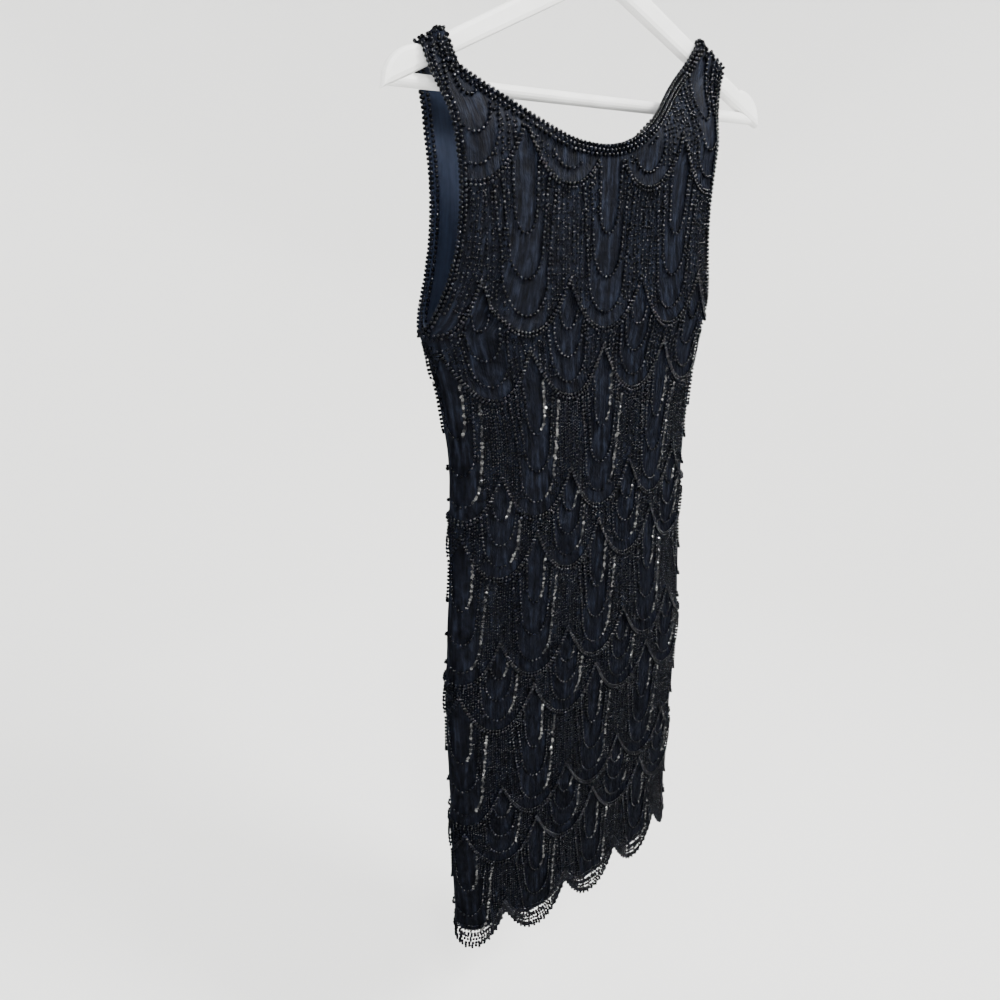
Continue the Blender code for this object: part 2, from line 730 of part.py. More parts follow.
def build_hook(parent):
    curve = bpy.data.curves.new("hanger_hook", "CURVE")
    curve.dimensions = "3D"
    curve.bevel_depth = HOOK_WIRE_RADIUS
    curve.bevel_resolution = 2
    curve.use_fill_caps = True
    line = curve.splines.new("POLY")
    points = hook_path()
    line.points.add(len(points) - 1)
    for number, (x, z) in enumerate(points):
        line.points[number].co = (x, 0.0, z, 1.0)
        line.points[number].radius = FERRULE_RADIUS / HOOK_WIRE_RADIUS if number < FERRULE_POINTS else 1.0
    node = bpy.data.objects.new("hanger_hook", curve)
    curve.materials.append(make_material("hanger_hook_material", STEEL))
    node.parent = parent
    bpy.context.scene.collection.objects.link(node)


def main():
    for existing in list(bpy.data.objects):
        bpy.data.objects.remove(existing, do_unlink=True)
    root = bpy.data.objects.new("dress_on_hanger", None)
    bpy.context.scene.collection.objects.link(root)
    build_arms(root)
    build_bar(root)
    build_hook(root)
    for side in ("front", "back"):
        build_panel(side, root)
        build_lining(side, root)
        faces = panel_faces(side)
        build_edging(side + "_neck_edging", faces, neck_path(), root)
        build_edging(side + "_armhole_edging_left", faces, armhole_path(0), root)
        last = len(COLUMNS) - 1
        build_edging(side + "_armhole_edging_right", faces, armhole_path(last), root)


main()
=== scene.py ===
import math

import bpy
import numpy as np
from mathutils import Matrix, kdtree


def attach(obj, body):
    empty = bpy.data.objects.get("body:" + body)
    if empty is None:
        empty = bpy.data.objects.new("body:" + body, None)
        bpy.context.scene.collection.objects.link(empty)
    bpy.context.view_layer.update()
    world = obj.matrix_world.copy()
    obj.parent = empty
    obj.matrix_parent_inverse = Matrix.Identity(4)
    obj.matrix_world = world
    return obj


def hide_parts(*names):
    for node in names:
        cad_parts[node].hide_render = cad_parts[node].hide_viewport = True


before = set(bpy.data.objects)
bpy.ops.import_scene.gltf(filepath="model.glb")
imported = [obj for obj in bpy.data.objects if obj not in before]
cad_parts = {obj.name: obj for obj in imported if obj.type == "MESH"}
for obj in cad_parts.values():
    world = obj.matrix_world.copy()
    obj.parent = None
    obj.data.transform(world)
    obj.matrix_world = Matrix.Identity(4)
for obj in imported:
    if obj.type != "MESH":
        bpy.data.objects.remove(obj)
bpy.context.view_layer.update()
scatter = np.random.default_rng(27)

# the dress's form, in metres; "pitch" counts scallops across from the centre

form = {
    "exponent": 2.3,  # how full the cross section is
    "sidePitch": 13 / 6,
    "neckPitch": 11 / 6,
    # low point, roundness and sideways shift
    "necks": {"front": (-0.224, 2.1, -0.07), "back": (-0.236, 3.9, 0.0)},
    "scallop": (0.048, 2.2),  # rise from tip to notch, and its roundness
    "hemTip": -1.110,
    "hemDraw": 0.55,  # how far the hem's rows draw together at a notch
    "underarmTip": -0.385,
    "armTop": (-0.068, 0.49),  # the hanger's upper edge: height and slope
    "strapSeat": 0.0004,
    "strapFace": 0.0077,
    "strapArc": 0.0055,
    "strapFree": (-0.150, 0.070),
    "seam": 0.00015,
    "wall": 0.0028,  # lining and cloth together
    "lining": 0.0010,
    "rows": (-1.130, -0.100, 0.0015),  # lowest, highest and step
    "columns": 391,
    "sectionPoints": 97,
}

# height, half width, depth in front, depth behind, centre, turn in degrees
sections = np.array((
    (-1.120, 0.179, 0.040, 0.040, 0.004, 6.5),
    (-1.000, 0.174, 0.040, 0.038, -0.001, 5.6),
    (-0.900, 0.171, 0.040, 0.037, -0.003, 4.4),
    (-0.800, 0.169, 0.040, 0.036, -0.005, 3.2),
    (-0.700, 0.161, 0.040, 0.035, -0.007, 2.0),
    (-0.600, 0.151, 0.040, 0.034, -0.010, 0.8),
    (-0.500, 0.148, 0.040, 0.034, -0.011, 0.0),
    (-0.440, 0.154, 0.042, 0.035, -0.014, 0.0),
    (-0.405, 0.159, 0.043, 0.036, -0.017, 0.0),
    (-0.385, 0.166, 0.044, 0.036, -0.017, 0.0),
    (-0.360, 0.169, 0.044, 0.036, -0.017, 0.0),
    (-0.300, 0.172, 0.044, 0.036, -0.018, 0.0),
    (-0.230, 0.175, 0.044, 0.035, -0.018, 0.0),
    (-0.120, 0.176, 0.042, 0.034, -0.018, 0.0),
))

# height above the underarm, and how far the armhole cuts in
armholes = np.array((
    (0.000, 0.000), (0.010, 0.003), (0.025, 0.009), (0.045, 0.017), (0.075, 0.026),
    (0.110, 0.031), (0.145, 0.031), (0.180, 0.026), (0.210, 0.016), (0.245, 0.009),
))

# soft folds and creases: at, half width, top, bottom, depth, lean by the bottom
folds = {
    "front": (
        (-1.62, 0.17, -0.315, -0.470, 0.0060, 0.00),
        (-1.25, 0.45, -0.560, -0.900, 0.0035, 0.00),
        (0.45, 0.55, -0.640, -1.090, 0.0035, 0.00),
        (1.40, 0.35, -0.420, -0.800, 0.0040, 0.00),
        (-1.58, 0.09, -0.300, -0.420, 0.0022, 0.12),
        (-1.52, 0.10, -0.600, -0.690, 0.0020, 0.05),
        (-0.62, 0.12, -0.240, -0.380, -0.0012, -0.10),
        (0.98, 0.14, -0.300, -0.460, 0.0014, 0.10),
        (-0.20, 0.16, -0.470, -0.620, 0.0012, 0.12),
        (0.55, 0.12, -0.520, -0.640, -0.0010, -0.08),
        (1.66, 0.12, -0.520, -0.700, 0.0016, -0.05),
        (-0.85, 0.20, -0.760, -1.020, 0.0014, 0.15),
    ),
    "back": (
        (-1.40, 0.40, -0.360, -0.720, 0.0040, 0.00),
        (-0.30, 0.55, -0.520, -1.060, 0.0040, 0.00),
        (1.10, 0.45, -0.600, -0.980, 0.0035, 0.00),
        (1.55, 0.10, -0.300, -0.430, 0.0020, -0.10),
        (-0.75, 0.14, -0.250, -0.400, 0.0014, 0.12),
        (0.40, 0.16, -0.420, -0.560, 0.0014, -0.15),
        (0.05, 0.12, -0.540, -0.640, -0.0010, 0.06),
        (-1.62, 0.12, -0.560, -0.700, 0.0016, 0.06),
        (0.70, 0.18, -0.800, -1.020, 0.0014, -0.12),
    ),
}


def smoothStep(value):
    clipped = np.clip(value, 0.0, 1.0)
    return clipped * clipped * (3.0 - 2.0 * clipped)


def tableValue(table, column, at):
    keys, values = table[:, 0], table[:, column]
    spot = np.clip(np.searchsorted(keys, at) - 1, 0, len(keys) - 2)
    share = np.clip((at - keys[spot]) / (keys[spot + 1] - keys[spot]), 0.0, 1.0)
    start, end = values[spot], values[spot + 1]
    slopeStart = (end - values[np.maximum(spot - 1, 0)]) * 0.5 * (spot > 0)
    slopeEnd = (values[np.minimum(spot + 2, len(keys) - 1)] - start) * 0.5 * (spot < len(keys) - 2)
    two, three = share**2, share**3
    return (
        (2 * three - 3 * two + 1) * start
        + (three - 2 * two + share) * slopeStart
        + (3 * two - 2 * three) * end
        + (three - two) * slopeEnd
    )


def fromTip(place, phase):
    return np.abs((place - phase + 0.5) % 1.0 - 0.5) / 0.5


def scallopLine(place, phase, tip):
    rise, roundness = form["scallop"]
    return tip + rise * fromTip(place, phase) ** roundness


underarm = float(scallopLine(form["sidePitch"], 0.0, form["underarmTip"]))


def clothRow(side, pitch, z):
    half = tableValue(sections, 1, z)
    depth = tableValue(sections, 2 if side == "front" else 3, z)
    turn = np.linspace(0.0, math.pi / 2, form["sectionPoints"])
    x = half * np.sin(turn) ** (2 / form["exponent"])
    y = depth * np.abs(np.cos(turn)) ** (2 / form["exponent"])
    along = np.concatenate([[0.0], np.cumsum(np.hypot(np.diff(x), np.diff(y)))])
    share = 1.0
    if z > underarm:
        edge = half - tableValue(armholes, 1, z - underarm)
        share = np.interp(edge, x, along) / along[-1]
    distance = np.abs(pitch) / form["sidePitch"] * share * along[-1]
    free = smoothStep((form["strapFree"][0] - z) / form["strapFree"][1])
    away = free * np.interp(distance, along, y) + (1.0 - free) * form["strapFace"]
    away = np.maximum(away, form["seam"]) * (-1.0 if side == "front" else 1.0)
    across = np.copysign(np.interp(distance, along, x), pitch)
    swing = math.radians(tableValue(sections, 5, z))
    placeX = tableValue(sections, 4, z) + across * math.cos(swing) - away * math.sin(swing)
    placeY = across * math.sin(swing) + away * math.cos(swing)
    return np.stack([placeX, placeY, np.full_like(placeX, z)], axis=-1), share


def foldDepth(side, pitch, z):
    depth = np.zeros(np.broadcast(pitch, z).shape)
    for at, wide, top, bottom, deep, lean in folds[side]:
        along = np.clip((z - (top + bottom) / 2) / ((top - bottom) / 2), -1.0, 1.0)
        wander = (lean * (1.0 - along) / 2 + 0.15 * wide * np.sin(z * 90.0 + at)) * (lean != 0.0)
        across = (pitch - at - wander) / wide
        depth += deep * np.exp(-across * across) * (1.0 - along * along) ** 1.5
    return depth


# above its foot each strap turns over the hanger's arm
def strapOverArm(points, heights, side):
    top, slope = form["armTop"]
    arc = form["strapArc"]
    feet = np.zeros(points.shape[1])
    for column in range(points.shape[1]):
        x = points[:, column, 0]
        foot = np.interp(0.0, heights - (top - slope * np.abs(x) + form["strapSeat"] - arc), heights)
        feet[column] = foot
        past = heights > foot
        along = heights[past] - foot
        turn = np.minimum(along / arc, math.pi / 2)
        flat = np.maximum(along - arc * math.pi / 2, 0.0)
        away = np.maximum(form["strapFace"] - arc + arc * np.cos(turn) - flat, form["seam"])
        points[past, column, 0] = np.interp(foot, heights, x)
        points[past, column, 1] = away * (-1.0 if side == "front" else 1.0)
        points[past, column, 2] = foot + arc * np.sin(turn)
    return feet


def makeForm(side):
    low, high, step = form["rows"]
    heights = np.arange(low, high, step)
    pitches = np.linspace(-form["sidePitch"], form["sidePitch"], form["columns"])
    rows = [clothRow(side, pitches, z) for z in heights]
    points = np.stack([row[0] for row in rows])
    feet = strapOverArm(points, heights, side)
    inwards = 1.0 if side == "front" else -1.0
    points[:, :, 1] += inwards * foldDepth(side, pitches[None, :], heights[:, None])
    normals = np.cross(np.gradient(points, axis=1), np.gradient(points, axis=0)) * inwards
    normals[np.linalg.norm(normals, axis=2) < 1e-9] = (0.0, 0.0, 1.0)
    normals /= np.linalg.norm(normals, axis=2)[:, :, None]
    below = heights <= underarm
    normals[below, 0] = (-1.0, 0.0, 0.0)
    normals[below, -1] = (1.0, 0.0, 0.0)
    return {
        "heights": heights, "pitches": pitches, "points": points, "normals": normals,
        "feet": feet, "shares": np.array([row[1] for row in rows]),
    }


forms = {side: makeForm(side) for side in ("front", "back")}


def formAt(side, pitch, z):
    made = forms[side]
    low, _, step = form["rows"]
    row = np.clip((z - low) / step, 0, len(made["heights"]) - 1.001)
    column = (pitch + form["sidePitch"]) / (2 * form["sidePitch"]) * (form["columns"] - 1)
    column = np.clip(column, 0, form["columns"] - 1.001)
    r, c = row.astype(int), column.astype(int)
    dr, dc = (row - r)[..., None], (column - c)[..., None]
    found = []
    for grid in (made["points"], made["normals"]):
        lower = grid[r, c] * (1 - dc) + grid[r, c + 1] * dc
        upper = grid[r + 1, c] * (1 - dc) + grid[r + 1, c + 1] * dc
        found.append(lower * (1 - dr) + upper * dr)
    found[1] /= np.linalg.norm(found[1], axis=-1)[..., None] + 1e-12
    return found


# the beading keeps its width where the armholes cut into the cloth
def shareAt(side, z):
    return np.interp(z, forms[side]["heights"], forms[side]["shares"])


def strapFoot(side, pitch):
    return np.interp(pitch, forms[side]["pitches"], forms[side]["feet"])


def topEdge(side, pitch):
    low, roundness, shift = form["necks"][side]
    corner = strapFoot(side, np.copysign(form["neckPitch"], pitch))
    fromLow = pitch / form["neckPitch"] - shift
    reach = 1.0 - np.copysign(shift, fromLow)
    neck = low + (corner - low) * (np.abs(fromLow) / reach) ** roundness
    return np.where(np.abs(pitch) >= form["neckPitch"] - 1e-6, strapFoot(side, pitch), neck)


def strapEnd(side, pitch):
    arc = form["strapArc"]
    return strapFoot(side, pitch) + arc * math.pi / 2 + form["strapFace"] - arc - form["seam"]


def hemLine(pitch, lift):
    spread = 1.0 - form["hemDraw"] * smoothStep(fromTip(pitch, 0.0))
    return scallopLine(pitch, 0.0, form["hemTip"]) + lift * spread


print("dress form ready")

# scallops of the beading, from the hem up; loops: lift above the tip,
# half width of the round end, its height, and how much the legs spread by 0.1 m

scallops = {
    "long": {
        "phase": 0.0,
        "tips": (-1.110, -0.931, -0.749, -0.567, -0.385),
        "loops": (
            (0.018, 0.245, 0.034, 0.120), (0.050, 0.190, 0.030, 0.110), (0.088, 0.125, 0.024, 0.040),
        ),
    },
    "short": {
        "phase": 0.5,
        "tips": (-0.990, -0.810, -0.630, -0.446, -0.260),
        "loops": (
            (0.016, 0.240, 0.032, 0.110), (0.040, 0.185, 0.026, 0.100), (0.066, 0.120, 0.020, 0.040),
        ),
    },
}
borderRelief = {
    "rise": 0.0014, "spread": 0.0050,
    "upward": 1.6,  # how much more gently a border falls off above its line
    "edgeClear": 0.010, "edgeFade": 0.016,
}

rowsUp = [
    {**scallops[kind], "tip": scallops[kind]["tips"][number]}
    for number in range(5) for kind in ("long", "short")
]


def rowBottom(side, number, pitch, z):
    row = rowsUp[number]
    return scallopLine(pitch * shareAt(side, z), row["phase"], row["tip"])


def reliefAt(side, pitch, z):
    rise = np.zeros(np.broadcast(pitch, z).shape)
    for number in range(1, len(rowsUp)):
        away = (z - rowBottom(side, number, pitch, z)) / borderRelief["spread"]
        away = np.where(away > 0, away / borderRelief["upward"], away)
        rise = np.maximum(rise, borderRelief["rise"] * np.exp(-(away**2)))
    room = topEdge(side, pitch) - z - borderRelief["edgeClear"]
    return rise * smoothStep(room / borderRelief["edgeFade"])


def onCloth(side, pitch, z, lift):
    points, normals = formAt(side, pitch, z)
    raised = form["wall"] + reliefAt(side, pitch, z) + lift
    return points + normals * np.asarray(raised)[..., None], normals


# materials

def newMaterial(name, settings):
    material = bpy.data.materials.new(name)
    material.use_nodes = True
    shader = material.node_tree.nodes["Principled BSDF"]
    for socket, value in settings.items():
        shader.inputs[socket].default_value = value
    return material, material.node_tree, shader


def newGroup(name, inputs, outputs):
    group = bpy.data.node_groups.new(name, "ShaderNodeTree")
    for label, value in inputs.items():
        kind = "NodeSocketVector" if isinstance(value, tuple) else "NodeSocketFloat"
        group.interface.new_socket(label, in_out="INPUT", socket_type=kind).default_value = value
    for label in outputs:
        group.interface.new_socket(label, in_out="OUTPUT", socket_type="NodeSocketFloat")
    return group, group.nodes.new("NodeGroupInput"), group.nodes.new("NodeGroupOutput")


def mathNode(tree, operation, *values):
    node = tree.nodes.new("ShaderNodeMath")
    node.operation = operation
    for number, value in enumerate(values):
        if isinstance(value, (int, float)):
            node.inputs[number].default_value = value
        else:
            tree.links.new(value, node.inputs[number])
    return node.outputs[0]


def noiseNode(tree, vector, scale, stretch, detail):
    mapping = tree.nodes.new("ShaderNodeMapping")
    mapping.inputs["Scale"].default_value = stretch
    noise = tree.nodes.new("ShaderNodeTexNoise")
    noise.inputs["Scale"].default_value = scale
    noise.inputs["Detail"].default_value = detail
    tree.links.new(vector, mapping.inputs["Vector"])
    tree.links.new(mapping.outputs[0], noise.inputs["Vector"])
    return noise.outputs["Fac"]


# streaks of uneven thread and painted sheen of the crinkles, with a fine crinkle across them
def makeSlubAndSheenGroup():
    inputs = {"Vector": (0.0, 0.0, 0.0), "Crinkle": 0.5}
    group, start, end = newGroup("slubThreadAndSheen", inputs, ("StreakAndSheen", "Height"))
    vector = start.outputs["Vector"]
    broad = noiseNode(group, vector, 1.0, (230.0, 24.0, 1.0), 3.0)
    fine = noiseNode(group, vector, 1.0, (620.0, 75.0, 1.0), 2.0)
    crinkle = noiseNode(group, vector, 1.0, (150.0, 105.0, 1.0), 4.0)
    # painted sheen: the light streaks in the colour stand partly for uneven thread and partly for
    # highlights on the crinkles
    threadsAndSheen = mathNode(group, "MULTIPLY_ADD", fine, 0.2, mathNode(group, "MULTIPLY", broad, 0.5))
    streakAndSheen = mathNode(group, "MULTIPLY_ADD", crinkle, 0.3, threadsAndSheen)
    bumps = mathNode(group, "MULTIPLY", crinkle, start.outputs["Crinkle"])
    group.links.new(streakAndSheen, end.inputs["StreakAndSheen"])
    group.links.new(mathNode(group, "ADD", streakAndSheen, bumps), end.inputs["Height"])
    return group


# soft brushed unevenness of paint, with a little grain showing through
def makePaintGroup():
    inputs = {"Vector": (0.0, 0.0, 0.0), "Grain": 0.5}
    group, start, end = newGroup("brushedPaint", inputs, ("Mask", "Height"))
    vector = start.outputs["Vector"]
    grain = noiseNode(group, vector, 1.0, (14.0, 420.0, 420.0), 3.0)
    soft = noiseNode(group, vector, 38.0, (1.0, 1.0, 1.0), 3.0)
    mixed = mathNode(group, "ADD", mathNode(group, "MULTIPLY", grain, start.outputs["Grain"]), soft)
    group.links.new(soft, end.inputs["Mask"])
    group.links.new(mixed, end.inputs["Height"])
    return group


slubThreadAndSheen = makeSlubAndSheenGroup()
brushedPaint = makePaintGroup()


def colourRamp(tree, factor, stops):
    ramp = tree.nodes.new("ShaderNodeValToRGB")
    while len(ramp.color_ramp.elements) < len(stops):
        ramp.color_ramp.elements.new(0.5)
    for element, (place, colour) in zip(ramp.color_ramp.elements, stops):
        element.position = place
        element.color = (*colour, 1.0)
    tree.links.new(factor, ramp.inputs["Fac"])
    return ramp.outputs["Color"]


def addBump(tree, shader, height, strength, distance):
    bump = tree.nodes.new("ShaderNodeBump")
    bump.inputs["Strength"].default_value = strength
    bump.inputs["Distance"].default_value = distance
    tree.links.new(height, bump.inputs["Height"])
    tree.links.new(bump.outputs["Normal"], shader.inputs["Normal"])


def placeGroup(tree, group, source, settings):
    node = tree.nodes.new("ShaderNodeGroup")
    node.node_tree = group
    coordinates = tree.nodes.new("ShaderNodeTexCoord")
    tree.links.new(coordinates.outputs[source], node.inputs["Vector"])
    for socket, value in settings.items():
        node.inputs[socket].default_value = value
    return node


# painted shade: the cloth's colour darkens a little towards the hem, for the dimmer light lower down
def makeCloth():
    material, tree, shader = newMaterial("navySlubCloth", {
        "Roughness": 0.6, "Specular IOR Level": 0.12, "Sheen Weight": 0.02, "Sheen Roughness": 0.4,
        "Sheen Tint": (0.35, 0.45, 0.75, 1.0),
    })
    slubAndSheen = placeGroup(tree, slubThreadAndSheen, "UV", {"Crinkle": 1.0})
    heights = tree.nodes.new("ShaderNodeSeparateXYZ")
    tree.links.new(slubAndSheen.inputs["Vector"].links[0].from_socket, heights.inputs[0])
    # painted shade: the height in the UV map darkens the colour towards the hem
    paintedHemShade = mathNode(tree, "MULTIPLY_ADD", heights.outputs["Y"], 0.09, slubAndSheen.outputs["StreakAndSheen"])
    colour = colourRamp(tree, paintedHemShade, (
        (0.34, (0.0008, 0.0010, 0.0022)),
        (0.47, (0.0030, 0.0041, 0.0085)),
        (0.60, (0.0105, 0.0143, 0.0262)),
    ))
    tree.links.new(colour, shader.inputs["Base Color"])
    addBump(tree, shader, slubAndSheen.outputs["Height"], 0.9, 0.0011)
    return material


def makeSatin():
    material, tree, shader = newMaterial("blueSatin", {
        "Roughness": 0.4, "Specular IOR Level": 0.3, "Sheen Weight": 0.05, "Sheen Roughness": 0.3,
        "Sheen Tint": (0.5, 0.65, 1.0, 1.0),
    })
    slubAndSheen = placeGroup(tree, slubThreadAndSheen, "UV", {"Crinkle": 0.25})
    colour = colourRamp(tree, slubAndSheen.outputs["StreakAndSheen"], (
        (0.28, (0.008, 0.012, 0.025)), (0.72, (0.026, 0.035, 0.064)),
    ))
    tree.links.new(colour, shader.inputs["Base Color"])
    addBump(tree, shader, slubAndSheen.outputs["Height"], 0.35, 0.0004)
    return material


# each bead's own tone sets its colour and how smooth it is
def useTone(tree, shader, dark, light, roughness):
    tone = tree.nodes.new("ShaderNodeAttribute")
    tone.attribute_name = "tone"
    colour = colourRamp(tree, tone.outputs["Fac"], ((0.0, dark), (1.0, light)))
    tree.links.new(colour, shader.inputs["Base Color"])
    start, end = roughness
    gloss = mathNode(tree, "MULTIPLY_ADD", tone.outputs["Fac"], end - start, start)
    tree.links.new(gloss, shader.inputs["Roughness"])
    return tone.outputs["Fac"]


def makeBeadGlass(name, dark, light, roughness):
    material, tree, shader = newMaterial(name, {"Specular IOR Level": 0.6, "Coat Roughness": 0.06})
    tone = useTone(tree, shader, dark, light, roughness)
    tree.links.new(mathNode(tree, "POWER", tone, 1.5), shader.inputs["Coat Weight"])
    return material


def makeSequin():
    material, tree, shader = newMaterial("sequinFoil", {
        "Metallic": 0.85, "Coat Weight": 0.5, "Coat Roughness": 0.05,
    })
    useTone(tree, shader, (0.022, 0.024, 0.032), (0.70, 0.70, 0.68), (0.24, 0.14))
    return material


# lighter and rougher where the paint's mask is high
def useMask(tree, shader, mask, dark, light, spread, smoothest):
    colour = colourRamp(tree, mask, ((0.30, dark), (0.70, light)))
    tree.links.new(colour, shader.inputs["Base Color"])
    gloss = mathNode(tree, "MULTIPLY_ADD", mask, spread, smoothest)
    tree.links.new(gloss, shader.inputs["Roughness"])


def makePaint():
    material, tree, shader = newMaterial("whitePaintedWood", {
        "Specular IOR Level": 0.45, "Coat Weight": 0.15, "Coat Roughness": 0.3,
    })
    paint = placeGroup(tree, brushedPaint, "Object", {"Grain": 0.6})
    useMask(tree, shader, paint.outputs["Mask"], (0.87, 0.87, 0.855), (0.94, 0.94, 0.93), 0.18, 0.34)
    addBump(tree, shader, paint.outputs["Height"], 0.2, 0.0003)
    return material


def makeSteel():
    material, tree, shader = newMaterial("polishedSteel", {"Metallic": 1.0})
    paint = placeGroup(tree, brushedPaint, "Object", {"Grain": 1.0})
    useMask(tree, shader, paint.outputs["Mask"], (0.52, 0.52, 0.53), (0.68, 0.68, 0.69), 0.16, 0.14)
    return material


clothMaterial = makeCloth()
satinMaterial = makeSatin()
stringGlass = makeBeadGlass("blackBeadGlass", (0.0006, 0.0008, 0.0014), (0.004, 0.005, 0.010), (0.16, 0.08))
seedGlass = makeBeadGlass("seedBeadGlass", (0.0006, 0.0008, 0.0012), (0.006, 0.007, 0.012), (0.20, 0.08))
sequinMaterial = makeSequin()
paintMaterial = makePaint()
steelMaterial = makeSteel()

print("materials ready")

# cloth shells

clothGrid = {
    "strap": 8, "middle": 104, "rows": 190, "strapRows": 8, "hemLift": 0.026,
    "pitchWidth": 0.085, "pucker": 0.00035, "puckerBelow": 0.03, "overLining": 0.0003,
}
liningGrid = {
    "strap": 5, "middle": 56, "rows": 110, "strapRows": 6,
    "hemBetween": (0.033, -0.993),  # ends midway from this hem row to the short scallops' tips
    "slack": 0.0055, "slackAbove": 0.045, "slackLength": 0.090, "ripple": 0.0012, "sideFade": 0.3,
}


def gridPitches(strap, middle):
    side, neck = form["sidePitch"], form["neckPitch"]
    left = np.linspace(-side, -neck, strap + 1)
    return np.concatenate([left[:-1], np.linspace(-neck, neck, middle + 1), -left[::-1][1:]])


def shellObject(name, outer, inner, kept, uv, flipped, material):
    rows, columns = outer.shape[:2]
    index = np.arange(rows * columns).reshape(rows, columns)
    r, c = np.nonzero(kept)
    quad = np.stack([index[r, c], index[r, c + 1], index[r + 1, c + 1], index[r + 1, c]], axis=1)
    count = rows * columns
    faces = [quad, quad[:, ::-1] + count]
    padded = np.pad(kept, 1)
    sides = ((-1, 0, 0, 1), (0, 1, 1, 2), (1, 0, 2, 3), (0, -1, 3, 0))
    for stepRow, stepColumn, first, second in sides:
        edge = ~padded[r + 1 + stepRow, c + 1 + stepColumn]
        a, b = quad[edge, first], quad[edge, second]
        faces.append(np.stack([b, a, a + count, b + count], axis=1))
    faces = np.concatenate(faces)
    if flipped:
        faces = faces[:, ::-1]
    used, faces = np.unique(faces, return_inverse=True)
    places = np.concatenate([outer.reshape(-1, 3), inner.reshape(-1, 3)])[used]
    mesh = bpy.data.meshes.new(name)
    mesh.from_pydata(places.tolist(), [], faces.reshape(-1, 4).tolist())
    layer = mesh.uv_layers.new(name="clothUV")
    corners = np.empty(len(mesh.loops), np.int32)
    mesh.loops.foreach_get("vertex_index", corners)
    layer.data.foreach_set("uv", np.concatenate([uv, uv])[used][corners].ravel())
    mesh.shade_smooth()
    mesh.set_sharp_from_angle(angle=math.radians(60))
    mesh.materials.append(material)
    shell = bpy.data.objects.new(name, mesh)
    bpy.context.scene.collection.objects.link(shell)
    area = sum(face.area for face in mesh.polygons) / 2
    print(name, len(mesh.polygons) * 2, "triangles, cloth area", round(area, 4))
    return shell


def gridRows(side, pitches, bottom, settings):
    top = topEdge(side, pitches)
    share = np.linspace(0.0, 1.0, settings["rows"] + 1)[:, None]
    face = bottom + (top - bottom) * share
    over = np.linspace(0.0, 1.0, settings["strapRows"] + 1)[1:, None]
    strap = top + (strapEnd(side, pitches) - top) * over
    isStrap = np.abs(pitches) >= form["neckPitch"] - 1e-6
    heights = np.concatenate([face, np.where(isStrap, strap, top)])
    kept = np.ones((heights.shape[0] - 1, heights.shape[1] - 1), bool)
    kept[settings["rows"]:, :] = (isStrap[:-1] & isStrap[1:])[None, :]
    return heights, kept


def clothUV(pitches, heights):
    across = np.broadcast_to(pitches * clothGrid["pitchWidth"], heights.shape)
    return np.stack([across, heights], axis=-1).reshape(-1, 2)


def buildCloth(side):
    pitches = gridPitches(clothGrid["strap"], clothGrid["middle"])
    heights, kept = gridRows(side, pitches, hemLine(pitches, clothGrid["hemLift"]), clothGrid)
    wide = np.broadcast_to(pitches, heights.shape)
    points, normals = formAt(side, wide, heights)
    pucker = clothGrid["pucker"] * np.sin(wide * 41.0 + 3.0 * np.sin(heights * 35.0))
    pucker = pucker * np.sin(heights * 60.0 + wide * 5.0)
    puckered = heights < topEdge(side, wide) - clothGrid["puckerBelow"]
    lift = form["wall"] + reliefAt(side, wide, heights) + pucker * puckered
    outer = points + normals * lift[..., None]
    inner = points + normals * (form["lining"] + clothGrid["overLining"])
    uv = clothUV(pitches, heights)
    return shellObject(side + "Cloth", outer, inner, kept, uv, side == "back", clothMaterial)


def buildLining(side):
    pitches = gridPitches(liningGrid["strap"], liningGrid["middle"])
    lift, tip = liningGrid["hemBetween"]
    bottom = (hemLine(pitches, lift) + scallopLine(pitches, 0.5, tip)) / 2
    heights, kept = gridRows(side, pitches, bottom, liningGrid)
    wide = np.broadcast_to(pitches, heights.shape)
    points, normals = formAt(side, wide, heights)
    drop = underarm + liningGrid["slackAbove"] - heights
    hang = smoothStep(drop / liningGrid["slackLength"])
    ripple = liningGrid["ripple"] * (1.0 + np.sin(wide * 9.0 + 2.0 * np.sin(heights * 11.0)))
    edge = smoothStep((form["sidePitch"] - np.abs(wide)) / liningGrid["sideFade"])
    slack = liningGrid["slack"] * hang + ripple * hang * edge
    towards = -normals
    towards[:, (0, -1), 1:] = 0.0
    inner = points + towards * slack[..., None]
    outer = inner + normals * form["lining"]
    uv = clothUV(pitches, heights)
    return shellObject(side + "Satin", outer, inner, kept, uv, side == "back", satinMaterial)


# beads: one is modelled, then strung on points and made real

beadTilt = {"round": 0.45, "seed": 0.45, "sequin": 0.30}  # how unevenly each kind sits


def beadModel(name, kind, material):
    bpy.ops.object.select_all(action="DESELECT")
    if kind == "round":
        bpy.ops.mesh.primitive_ico_sphere_add(subdivisions=1, radius=0.5)
    elif kind == "seed":
        bpy.ops.mesh.primitive_cone_add(vertices=4, radius1=0.5, depth=0.44, end_fill_type="NOTHING")
    else:
        bpy.ops.mesh.primitive_cone_add(vertices=6, radius1=0.5, depth=0.14)
    bead = bpy.context.object
    bead.name = name
    bpy.ops.object.mode_set(mode="EDIT")
    bpy.ops.mesh.select_all(action="SELECT")
    if kind == "round":
        bpy.ops.transform.resize(value=(1.0, 1.0, 0.88))
    elif kind == "seed":
        bpy.ops.transform.translate(value=(0.0, 0.0, 0.22))
        bpy.ops.mesh.duplicate()
        bpy.ops.transform.rotate(value=math.pi, orient_axis="X", center_override=(0.0, 0.0, 0.0))
        bpy.ops.mesh.select_all(action="SELECT")
        bpy.ops.mesh.remove_doubles(threshold=0.01)
    bpy.ops.mesh.normals_make_consistent(inside=False)
    bpy.ops.object.mode_set(mode="OBJECT")
    if kind != "sequin":
        bead.data.shade_smooth()
    bead.data.materials.append(material)
    return bead


